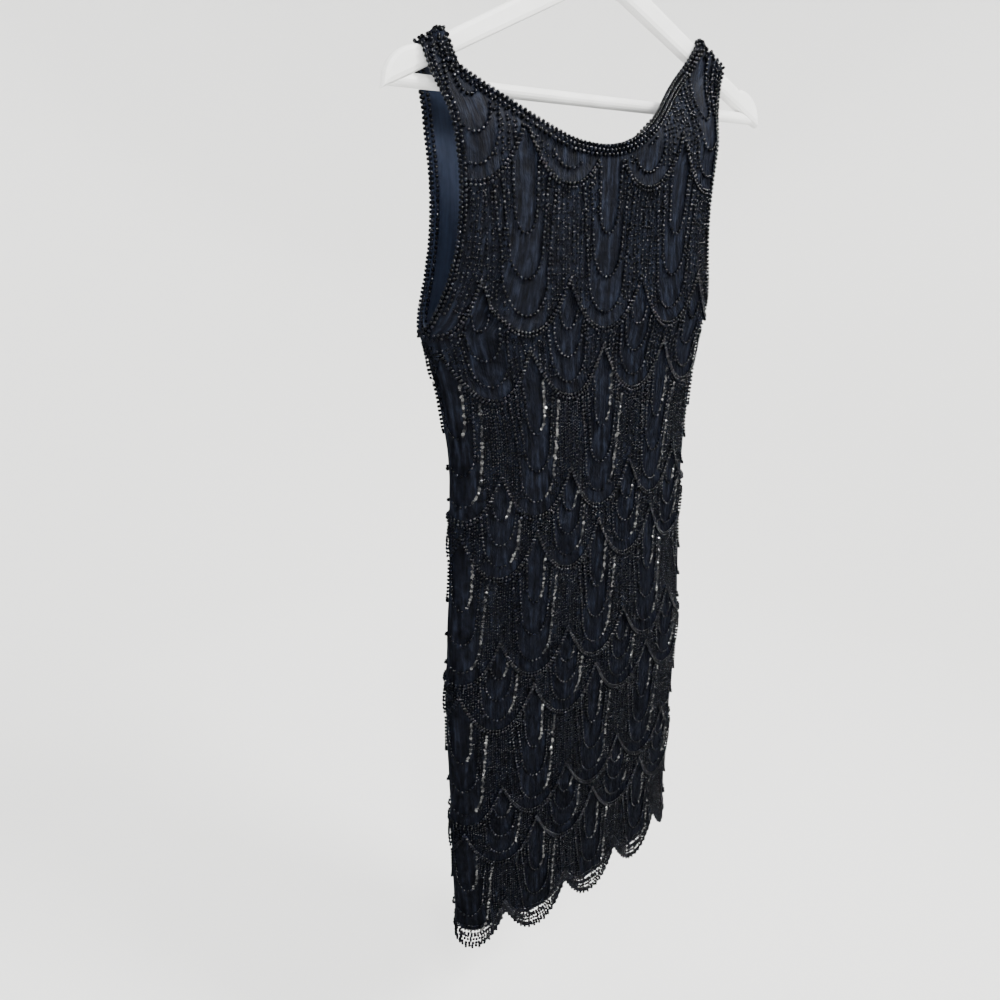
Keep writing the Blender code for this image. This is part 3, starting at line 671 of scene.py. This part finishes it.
def stringingNodes(name, bead):
    tree = bpy.data.node_groups.new(name, "GeometryNodeTree")
    tree.interface.new_socket("Geometry", in_out="INPUT", socket_type="NodeSocketGeometry")
    tree.interface.new_socket("Geometry", in_out="OUTPUT", socket_type="NodeSocketGeometry")
    start = tree.nodes.new("NodeGroupInput")
    end = tree.nodes.new("NodeGroupOutput")
    info = tree.nodes.new("GeometryNodeObjectInfo")
    info.inputs["Object"].default_value = bead
    size = tree.nodes.new("GeometryNodeInputNamedAttribute")
    size.data_type = "FLOAT"
    size.inputs["Name"].default_value = "size"
    facing = tree.nodes.new("GeometryNodeInputNamedAttribute")
    facing.data_type = "FLOAT_VECTOR"
    facing.inputs["Name"].default_value = "facing"
    align = tree.nodes.new("FunctionNodeAlignRotationToVector")
    align.axis = "Z"
    place = tree.nodes.new("GeometryNodeInstanceOnPoints")
    real = tree.nodes.new("GeometryNodeRealizeInstances")
    tree.links.new(facing.outputs["Attribute"], align.inputs["Vector"])
    tree.links.new(start.outputs[0], place.inputs["Points"])
    tree.links.new(info.outputs["Geometry"], place.inputs["Instance"])
    tree.links.new(size.outputs["Attribute"], place.inputs["Scale"])
    tree.links.new(align.outputs["Rotation"], place.inputs["Rotation"])
    tree.links.new(place.outputs["Instances"], real.inputs["Geometry"])
    tree.links.new(real.outputs["Geometry"], end.inputs[0])
    return tree


def stringBeads(name, kind, places, sizes, facing, material):
    bead = beadModel(name + "Model", kind, material)
    mesh = bpy.data.meshes.new(name)
    mesh.from_pydata(places.tolist(), [], [])
    tones = scatter.random(len(places)) ** 2
    turned = facing + scatter.normal(0.0, beadTilt[kind], facing.shape)
    mesh.attributes.new("size", "FLOAT", "POINT").data.foreach_set("value", sizes.astype(np.float32))
    mesh.attributes.new("tone", "FLOAT", "POINT").data.foreach_set("value", tones.astype(np.float32))
    mesh.attributes.new("facing", "FLOAT_VECTOR", "POINT").data.foreach_set(
        "vector", turned.astype(np.float32).ravel()
    )
    strung = bpy.data.objects.new(name, mesh)
    bpy.context.scene.collection.objects.link(strung)
    strung.modifiers.new("stringing", "NODES").node_group = stringingNodes(name + "Nodes", bead)
    bpy.ops.object.select_all(action="DESELECT")
    bpy.context.view_layer.objects.active = strung
    strung.select_set(True)
    bpy.ops.object.modifier_apply(modifier="stringing")
    bpy.data.objects.remove(bead)
    triangles = sum(len(face.vertices) - 2 for face in strung.data.polygons)
    print(name, len(places), "beads,", triangles, "triangles")
    return strung


# even steps along a line drawn in pitches and heights
def evenSteps(side, pitch, z, spacing, jitter=0.0):
    points, _ = formAt(side, pitch, z)
    along = np.concatenate([[0.0], np.cumsum(np.linalg.norm(np.diff(points, axis=0), axis=1))])
    if along[-1] < spacing:
        return np.zeros(0), np.zeros(0)
    steps = np.arange(spacing * 0.5, along[-1], spacing)
    steps = steps + scatter.normal(0.0, 1.0, len(steps)) * jitter * spacing
    return np.interp(steps, along, pitch), np.interp(steps, along, z)


def runsOf(chosen, least):
    parts = np.split(np.arange(len(chosen)), np.nonzero(np.diff(chosen.astype(int)))[0] + 1)
    return [part for part in parts if chosen[part[0]] and len(part) >= least]


strings = {
    "loopSize": 0.0037, "loopStep": 0.0043, "loopClear": 0.008,
    "borderSize": 0.0036, "borderStep": 0.0037, "borderRows": (0.0004, 0.0039),
    "neckClear": 0.0125, "armholeClear": 0.088, "strapClear": 0.10, "sideClear": 0.022,
    "sequinSize": 0.0036, "sequinStep": 0.0022, "sequinTop": -0.450,
    "sequinScatter": 0.0004, "sequinSizes": (0.75, 1.1),
    "seat": 0.42, "sequinSeat": 0.45,  # a bead's middle off the cloth, as a share of its size
    "rowClear": 0.002, "legHeight": 0.14,
}


# how far a loop's leg lies from the middle of its scallop at a height above its tip
def loopHalf(loop, above):
    _, half, roundHeight, spread = loop
    share = np.clip(1.0 - above / roundHeight, 0.0, 1.0)
    return half * np.sqrt(1.0 - share**2) + spread * np.maximum(above - roundHeight, 0.0) / 0.1


def loopLine(centre, tip, loop):
    legs = loop[2] + np.linspace(0.003, strings["legHeight"], 60)
    rise = np.concatenate([np.linspace(0.0, 1.0, 14) ** 2 * loop[2], legs])
    half = loopHalf(loop, rise)
    place = centre + np.concatenate([-half[::-1], half[1:]])
    z = tip + loop[0] + np.concatenate([rise[::-1], rise[1:]])
    return place, z


def insideEdges(side, pitch, z):
    high = z > underarm - 0.004
    armhole = np.where(high, strings["armholeClear"], strings["sideClear"])
    neck = z < topEdge(side, pitch) - strings["neckClear"]
    strap = np.abs(pitch) > form["neckPitch"] + strings["strapClear"]
    onStrap = strap & (z < strapEnd(side, pitch) - 0.001)
    return (np.abs(pitch) < form["sidePitch"] - armhole) & (neck | onStrap)


def inRow(side, number, pitch, z, above):
    inside = z > rowBottom(side, number, pitch, z) + above
    if number + 1 < len(rowsUp):
        inside &= z < rowBottom(side, number + 1, pitch, z) - strings["rowClear"]
    return inside & insideEdges(side, pitch, z)


def gather(side, lines, size, seat):
    pitch = np.concatenate([line[0] for line in lines])
    z = np.concatenate([line[1] for line in lines])
    places, normals = onCloth(side, pitch, z, size * seat)
    return places, np.full(len(places), size), normals


def loopStrings(side):
    beads, sequins = [], []
    for number, row in enumerate(rowsUp):
        for centre in np.arange(-3, 4) + row["phase"]:
            for order, loop in enumerate(row["loops"]):
                place, z = loopLine(centre, row["tip"], loop)
                pitch = place / shareAt(side, z)
                inside = inRow(side, number, pitch, z, strings["loopClear"])
                hasSequins = row["tip"] < strings["sequinTop"] and order != 1
                shiny = (place - centre > loop[1] * 0.5) & hasSequins
                for run in runsOf(inside & ~shiny, 3):
                    beads.append(evenSteps(side, pitch[run], z[run], strings["loopStep"]))
                for run in runsOf(inside & shiny, 3):
                    sequins.append(evenSteps(side, pitch[run], z[run], strings["sequinStep"], 0.1))
    looped = gather(side, beads, strings["loopSize"], strings["seat"])
    places, sizes, normals = gather(side, sequins, strings["sequinSize"], strings["sequinSeat"])
    places = places + scatter.normal(0.0, strings["sequinScatter"], places.shape)
    return looped, (places, sizes * scatter.uniform(*strings["sequinSizes"], len(sizes)), normals)


def borderStrings(side):
    reach = form["sidePitch"] + 0.3
    places = np.linspace(-reach, reach, 900)
    lines = []
    for number in range(1, len(rowsUp)):
        row = rowsUp[number]
        for rise in strings["borderRows"]:
            z = scallopLine(places, row["phase"], row["tip"]) + rise
            pitch = places / shareAt(side, z)
            for run in runsOf(insideEdges(side, pitch, z), 5):
                lines.append(evenSteps(side, pitch[run], z[run], strings["borderStep"], 0.05))
    return gather(side, lines, strings["borderSize"], strings["seat"])


# small beads on upright strings fill all but the bare windows inside the loops

fill = {
    "gap": 0.0300,  # between strings, in pitches
    "upper": {"sizes": (0.0033, 0.0023), "steps": (0.0042, 0.0036), "kept": (0.97, 0.38)},
    "lower": {"sizes": (0.0030, 0.0023), "steps": (0.0036, 0.0030), "kept": (0.96, 0.82)},
    "change": -0.460,  # rows whose tips lie above this take the upper kind
    "rowHeight": 0.24, "top": -0.105, "sample": 0.0008, "clear": 0.0065,
    "wander": 0.005, "jitter": 0.13, "sizeRange": (0.85, 1.12), "seat": 0.36,
    "windowRise": (0.014, 0.016),  # how far a window reaches past the next loop's tip
    "crescent": (0.0060, 0.24, 0.005),  # bare strip below the first loop: foot, half width, top
    "sleeve": 0.30,  # strings beside the armhole follow its edge
    "apart": (0.0013, 0.40),  # least way to a larger bead: fixed, and as a share of size
}


def inWindow(number, place, z):
    row = rowsUp[number]
    away = np.abs((place - row["phase"] + 0.5) % 1.0 - 0.5)
    inside = np.zeros(len(z), int)
    for loop in row["loops"]:
        above = np.maximum(z - row["tip"] - loop[0], 0.0)
        inside += away < loopHalf(loop, above) * (z > row["tip"] + loop[0])
    bare = inside == len(row["loops"])
    for zone in (1, 2):
        ceiling = row["tip"] + row["loops"][zone][0] + fill["windowRise"][zone - 1]
        bare |= (inside == zone) & (z < ceiling)
    foot, wide, top = fill["crescent"]
    low = z < row["tip"] + row["loops"][0][0] + top
    return bare | ((inside == 0) & low & (away < wide) & (z > row["tip"] + foot))


def fillStrings(side):
    lines = []
    gap = fill["gap"]
    edge = form["sidePitch"]
    for number, row in enumerate(rowsUp):
        kind = fill["upper"] if row["tip"] > fill["change"] else fill["lower"]
        z = np.arange(row["tip"], min(row["tip"] + fill["rowHeight"], fill["top"]), fill["sample"])
        high = z > underarm - 0.01
        for order, column in enumerate(np.arange(-edge + gap, edge, gap)):
            upright = (column + fill["wander"] * np.sin(z * 60.0 + column * 9.0)) / shareAt(side, z)
            beside = high & (edge - np.abs(upright) < fill["sleeve"])
            hugging = high & (edge - abs(column) < fill["sleeve"])
            step, kept, bead = (kind[key][order % 2] for key in ("steps", "kept", "sizes"))
            for path, chosen in ((upright, ~beside), (np.full_like(z, column), hugging)):
                inside = chosen & inRow(side, number, path, z, fill["clear"])
                inside &= ~inWindow(number, path * shareAt(side, z), z)
                for run in runsOf(inside, 4):
                    across, up = evenSteps(side, path[run], z[run], step, fill["jitter"])
                    keep = scatter.random(len(up)) < kept
                    lines.append((across[keep], up[keep], np.full(keep.sum(), bead)))
    pitch, z, size = (np.concatenate([line[k] for line in lines]) for k in range(3))
    size = size * scatter.uniform(*fill["sizeRange"], len(size))
    places, normals = onCloth(side, pitch, z, size * fill["seat"])
    return places, size, normals


# leaves out small beads that would lie in a larger one
def clearOf(strung, others):
    places, sizes, normals = strung
    larger = np.concatenate([other[0] for other in others])
    tree = kdtree.KDTree(len(larger))
    for number, place in enumerate(larger):
        tree.insert(place, number)
    tree.balance()
    least, share = fill["apart"]
    free = np.array([tree.find(place)[2] > least + size * share for place, size in zip(places, sizes)])
    return places[free], sizes[free], normals[free]


# beaded edges of neck and armholes

edging = {  # rows: how far in from the edge, and off the cloth
    "neckSize": 0.0043, "neckStep": 0.0043,
    "neckRows": ((0.0006, 0.0012), (0.0042, 0.0024), (0.0078, 0.0012), (0.0004, -0.0024)),
    "armSize": 0.0039, "armStep": 0.0039,
    "armRows": ((0.0006, 0.0012), (0.0042, 0.0014), (0.0004, -0.0022), (0.0040, -0.0046)),
    "sizeRange": (0.94, 1.05), "strapSteps": 23,
}


def edgeRows(side, pitch, z, inward, rows, size, step):
    points, normals = formAt(side, pitch, z)
    along = np.concatenate([[0.0], np.cumsum(np.linalg.norm(np.diff(points, axis=0), axis=1))])
    places, facing = [], []
    for number, (inset, lift) in enumerate(rows):
        steps = np.arange(step * (0.5 if number % 2 else 0.1), along[-1], step)
        at = np.stack([np.interp(steps, along, points[:, k]) for k in range(3)], axis=1)
        normal = np.stack([np.interp(steps, along, normals[:, k]) for k in range(3)], axis=1)
        normal /= np.linalg.norm(normal, axis=1)[:, None]
        into = np.cross(normal, np.gradient(at, axis=0)) * inward
        into /= np.linalg.norm(into, axis=1)[:, None]
        places.append(at + into * inset + normal * (form["wall"] + lift))
        facing.append(normal)
    places, facing = np.concatenate(places), np.concatenate(facing)
    return places, size * scatter.uniform(*edging["sizeRange"], len(places)), facing


def neckEdge(side):
    neck = form["neckPitch"]
    steps = edging["strapSteps"]
    across = np.linspace(-neck, neck, 301)
    rise = np.linspace(0.0, 1.0, steps + 1)
    leftFoot, rightFoot = topEdge(side, np.array([-neck, neck]))
    leftEnd, rightEnd = strapEnd(side, np.array([-neck, neck]))
    left = leftEnd + (leftFoot - leftEnd) * rise[:-1]
    right = rightFoot + (rightEnd - rightFoot) * rise[1:]
    pitch = np.concatenate([np.full(steps, -neck), across, np.full(steps, neck)])
    z = np.concatenate([left, topEdge(side, across), right])
    inward = -1.0 if side == "front" else 1.0
    return edgeRows(side, pitch, z, inward, edging["neckRows"], edging["neckSize"], edging["neckStep"])


def armholeEdge(side, hand):
    edge = form["sidePitch"] * hand
    top = float(strapEnd(side, np.array([edge]))[0])
    z = np.linspace(underarm, top, 160)
    pitch = np.full_like(z, edge)
    inward = hand * (1.0 if side == "front" else -1.0)
    return edgeRows(side, pitch, z, inward, edging["armRows"], edging["armSize"], edging["armStep"])


# openwork hem: ropes of beads with rungs between them and picots below

hem = {
    "ropes": (  # lift above the hem, and bead size
        (0.0008, 0.0041), (0.0046, 0.0041), (0.0108, 0.0036), (0.0166, 0.0038),
        (0.0204, 0.0038), (0.0268, 0.0038), (0.0325, 0.0038),
    ),
    "rungs": ((0.0064, 0.0150), (0.0220, 0.0260)),  # from and to, above the hem
    "rungGap": 0.135, "rungReach": 0.40, "rungWander": 0.012, "rungSize": 0.0030, "rungSink": 0.0004,
    "picotSize": 0.0037, "picotDrop": 0.0031, "picotEvery": 2,
    "ropeStep": 0.93, "rungStep": 0.95,  # as shares of the bead's size
    "sideClear": 0.012, "rungSideClear": 0.03, "scatter": 0.0002,
}


def hemStrings(side):
    places, sizes, facing = [], [], []

    def add(pitch, z, size, lift=0.0):
        at, normal = onCloth(side, pitch, z, lift)
        places.append(at + scatter.normal(0.0, hem["scatter"], at.shape))
        facing.append(normal)
        sizes.append(np.full(len(at), size))

    reach = form["sidePitch"] - hem["sideClear"]
    pitch = np.linspace(-reach, reach, 900)
    for number, (lift, size) in enumerate(hem["ropes"]):
        across, z = evenSteps(side, pitch, hemLine(pitch, lift), size * hem["ropeStep"], 0.04)
        add(across, z, size)
        if number == 0:
            some = np.arange(0, len(across), hem["picotEvery"])
            add(across[some], z[some] - hem["picotDrop"], hem["picotSize"])
    for centre in range(-2, 3):
        for offset in np.arange(-hem["rungReach"], hem["rungReach"] + 0.01, hem["rungGap"]):
            for start, end in hem["rungs"]:
                across = centre + offset + scatter.normal(0.0, hem["rungWander"])
                if abs(across) > form["sidePitch"] - hem["rungSideClear"]:
                    continue
                path = np.full(20, across)
                heights = hemLine(path, np.linspace(start, end, 20))
                path, heights = evenSteps(side, path, heights, hem["rungSize"] * hem["rungStep"])
                add(path, heights, hem["rungSize"], -hem["rungSink"])
    return np.concatenate(places), np.concatenate(sizes), np.concatenate(facing)


for side in ("front", "back"):
    cloth = buildCloth(side)
    satin = buildLining(side)
    loops, sequins = loopStrings(side)
    borders = borderStrings(side)
    neck = neckEdge(side)
    leftEdge, rightEdge = armholeEdge(side, -1), armholeEdge(side, 1)
    hemBeads = hemStrings(side)
    seeds = clearOf(fillStrings(side), (loops, sequins, borders, neck, leftEdge, rightEdge, hemBeads))
    sewn = [
        stringBeads(side + "Loops", "round", *loops, stringGlass),
        stringBeads(side + "Borders", "round", *borders, stringGlass),
        stringBeads(side + "Seeds", "seed", *seeds, seedGlass),
        stringBeads(side + "Sequins", "sequin", *sequins, sequinMaterial),
        stringBeads(side + "HemStrings", "round", *hemBeads, stringGlass),
    ]
    edges = {
        "_neck_edging": stringBeads(side + "NeckBeads", "round", *neck, stringGlass),
        "_armhole_edging_left": stringBeads(side + "LeftArmholeBeads", "round", *leftEdge, stringGlass),
        "_armhole_edging_right": stringBeads(side + "RightArmholeBeads", "round", *rightEdge, stringGlass),
    }
    for piece in (cloth, satin, *sewn, *edges.values()):
        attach(piece, "root")
    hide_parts(side + "_panel")
    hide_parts(side + "_lining")
    for node, piece in edges.items():
        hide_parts(side + node)

print("dress sewn")

# hanger

hangerFinish = {"hanger_arms": paintMaterial, "hanger_bar": paintMaterial, "hanger_hook": steelMaterial}

for node, material in hangerFinish.items():
    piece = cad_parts[node]
    piece.data.materials.clear()
    piece.data.materials.append(material)

print("hanger painted")

# stage, light and camera

stage = {
    "radius": 2.7, "floor": -1.50, "bend": 0.9, "height": 4.2, "colour": (0.90, 0.90, 0.89, 1.0),
    "sky": (0.80, 0.82, 0.86, 1.0), "skyStrength": 0.12,
    "aim": (0.0, 0.0, -0.6),  # where the lamps point
}
lamps = {  # the soft ones don't show in reflections
    "key": {"at": (0.95, -1.55, 1.35), "size": 0.5, "power": 90.0, "colour": (1.0, 0.99, 0.97)},
    "fill": {
        "at": (-2.0, -1.3, 0.9), "size": 1.3, "power": 30.0, "colour": (0.95, 0.97, 1.0), "soft": True,
    },
    "above": {
        "at": (-0.2, 0.5, 1.9), "size": 1.6, "power": 58.0, "colour": (1.0, 1.0, 1.0), "soft": True,
    },
    "behind": {
        "at": (0.9, 1.9, 0.6), "size": 1.2, "power": 50.0, "colour": (1.0, 0.99, 0.98), "soft": True,
    },
    "glint": {"at": (-0.7, -1.5, 1.3), "size": 0.14, "power": 20.0, "colour": (1.0, 1.0, 1.0)},
    "glintLow": {"at": (0.5, -2.0, 0.1), "size": 0.12, "power": 2.5, "colour": (1.0, 1.0, 1.0)},
}


# a round floor whose rim is drawn out and up into a seamless wall
def buildStage():
    flatRadius = stage["radius"] - stage["bend"]
    middle = (0.0, 0.0, stage["floor"])
    bpy.ops.object.select_all(action="DESELECT")
    bpy.ops.mesh.primitive_circle_add(vertices=64, radius=flatRadius, fill_type="NGON", location=middle)
    bowl = bpy.context.object
    bowl.name = "studioSweep"
    bpy.ops.object.mode_set(mode="EDIT")
    bpy.ops.mesh.select_mode(type="EDGE")
    bpy.ops.mesh.select_all(action="DESELECT")
    bpy.ops.mesh.select_non_manifold()
    steps = 10
    out, up = flatRadius, 0.0
    for step in range(1, steps + 2):
        angle = min(step, steps) / steps * math.pi / 2
        nextOut = flatRadius + stage["bend"] * math.sin(angle)
        nextUp = stage["bend"] * (1.0 - math.cos(angle)) if step <= steps else stage["height"]
        bpy.ops.mesh.extrude_edges_move(TRANSFORM_OT_translate={"value": (0.0, 0.0, nextUp - up)})
        bpy.ops.transform.resize(value=(nextOut / out, nextOut / out, 1.0), center_override=middle)
        out, up = nextOut, nextUp
    bpy.ops.object.mode_set(mode="OBJECT")
    bowl.data.shade_smooth()
    return bowl


sweep = buildStage()
sweepMaterial, _, _ = newMaterial("paleSweep", {
    "Base Color": stage["colour"], "Roughness": 0.85, "Specular IOR Level": 0.1,
})
sweep.data.materials.append(sweepMaterial)
sweep.visible_glossy = False

world = bpy.data.worlds.new("studio")
bpy.context.scene.world = world
world.use_nodes = True
world.node_tree.nodes["Background"].inputs["Color"].default_value = stage["sky"]
world.node_tree.nodes["Background"].inputs["Strength"].default_value = stage["skyStrength"]

for name, lamp in lamps.items():
    light = bpy.data.lights.new(name, "AREA")
    light.size = lamp["size"]
    light.energy = lamp["power"]
    light.color = lamp["colour"]
    holder = bpy.data.objects.new(name, light)
    bpy.context.scene.collection.objects.link(holder)
    holder.location = lamp["at"]
    holder.visible_glossy = "soft" not in lamp
    aim = np.array(stage["aim"]) - np.array(lamp["at"])
    flat = math.hypot(aim[0], aim[1])
    holder.rotation_euler = (math.atan2(flat, -aim[2]), 0.0, math.atan2(-aim[0], aim[1]))

view = {
    "at": (-0.4665, -0.6018, -0.30), "tilt": 70.0, "turn": -31.0,
    "lens": 26.0, "sensor": 36.0, "near": 0.01,
}

camera = bpy.data.objects.new("camera", bpy.data.cameras.new("camera"))
bpy.context.scene.collection.objects.link(camera)
camera.location = view["at"]
camera.rotation_euler = (math.radians(view["tilt"]), 0.0, math.radians(view["turn"]))
camera.data.lens = view["lens"]
camera.data.sensor_width = view["sensor"]
camera.data.clip_start = view["near"]
bpy.context.scene.camera = camera

print("stage lit")
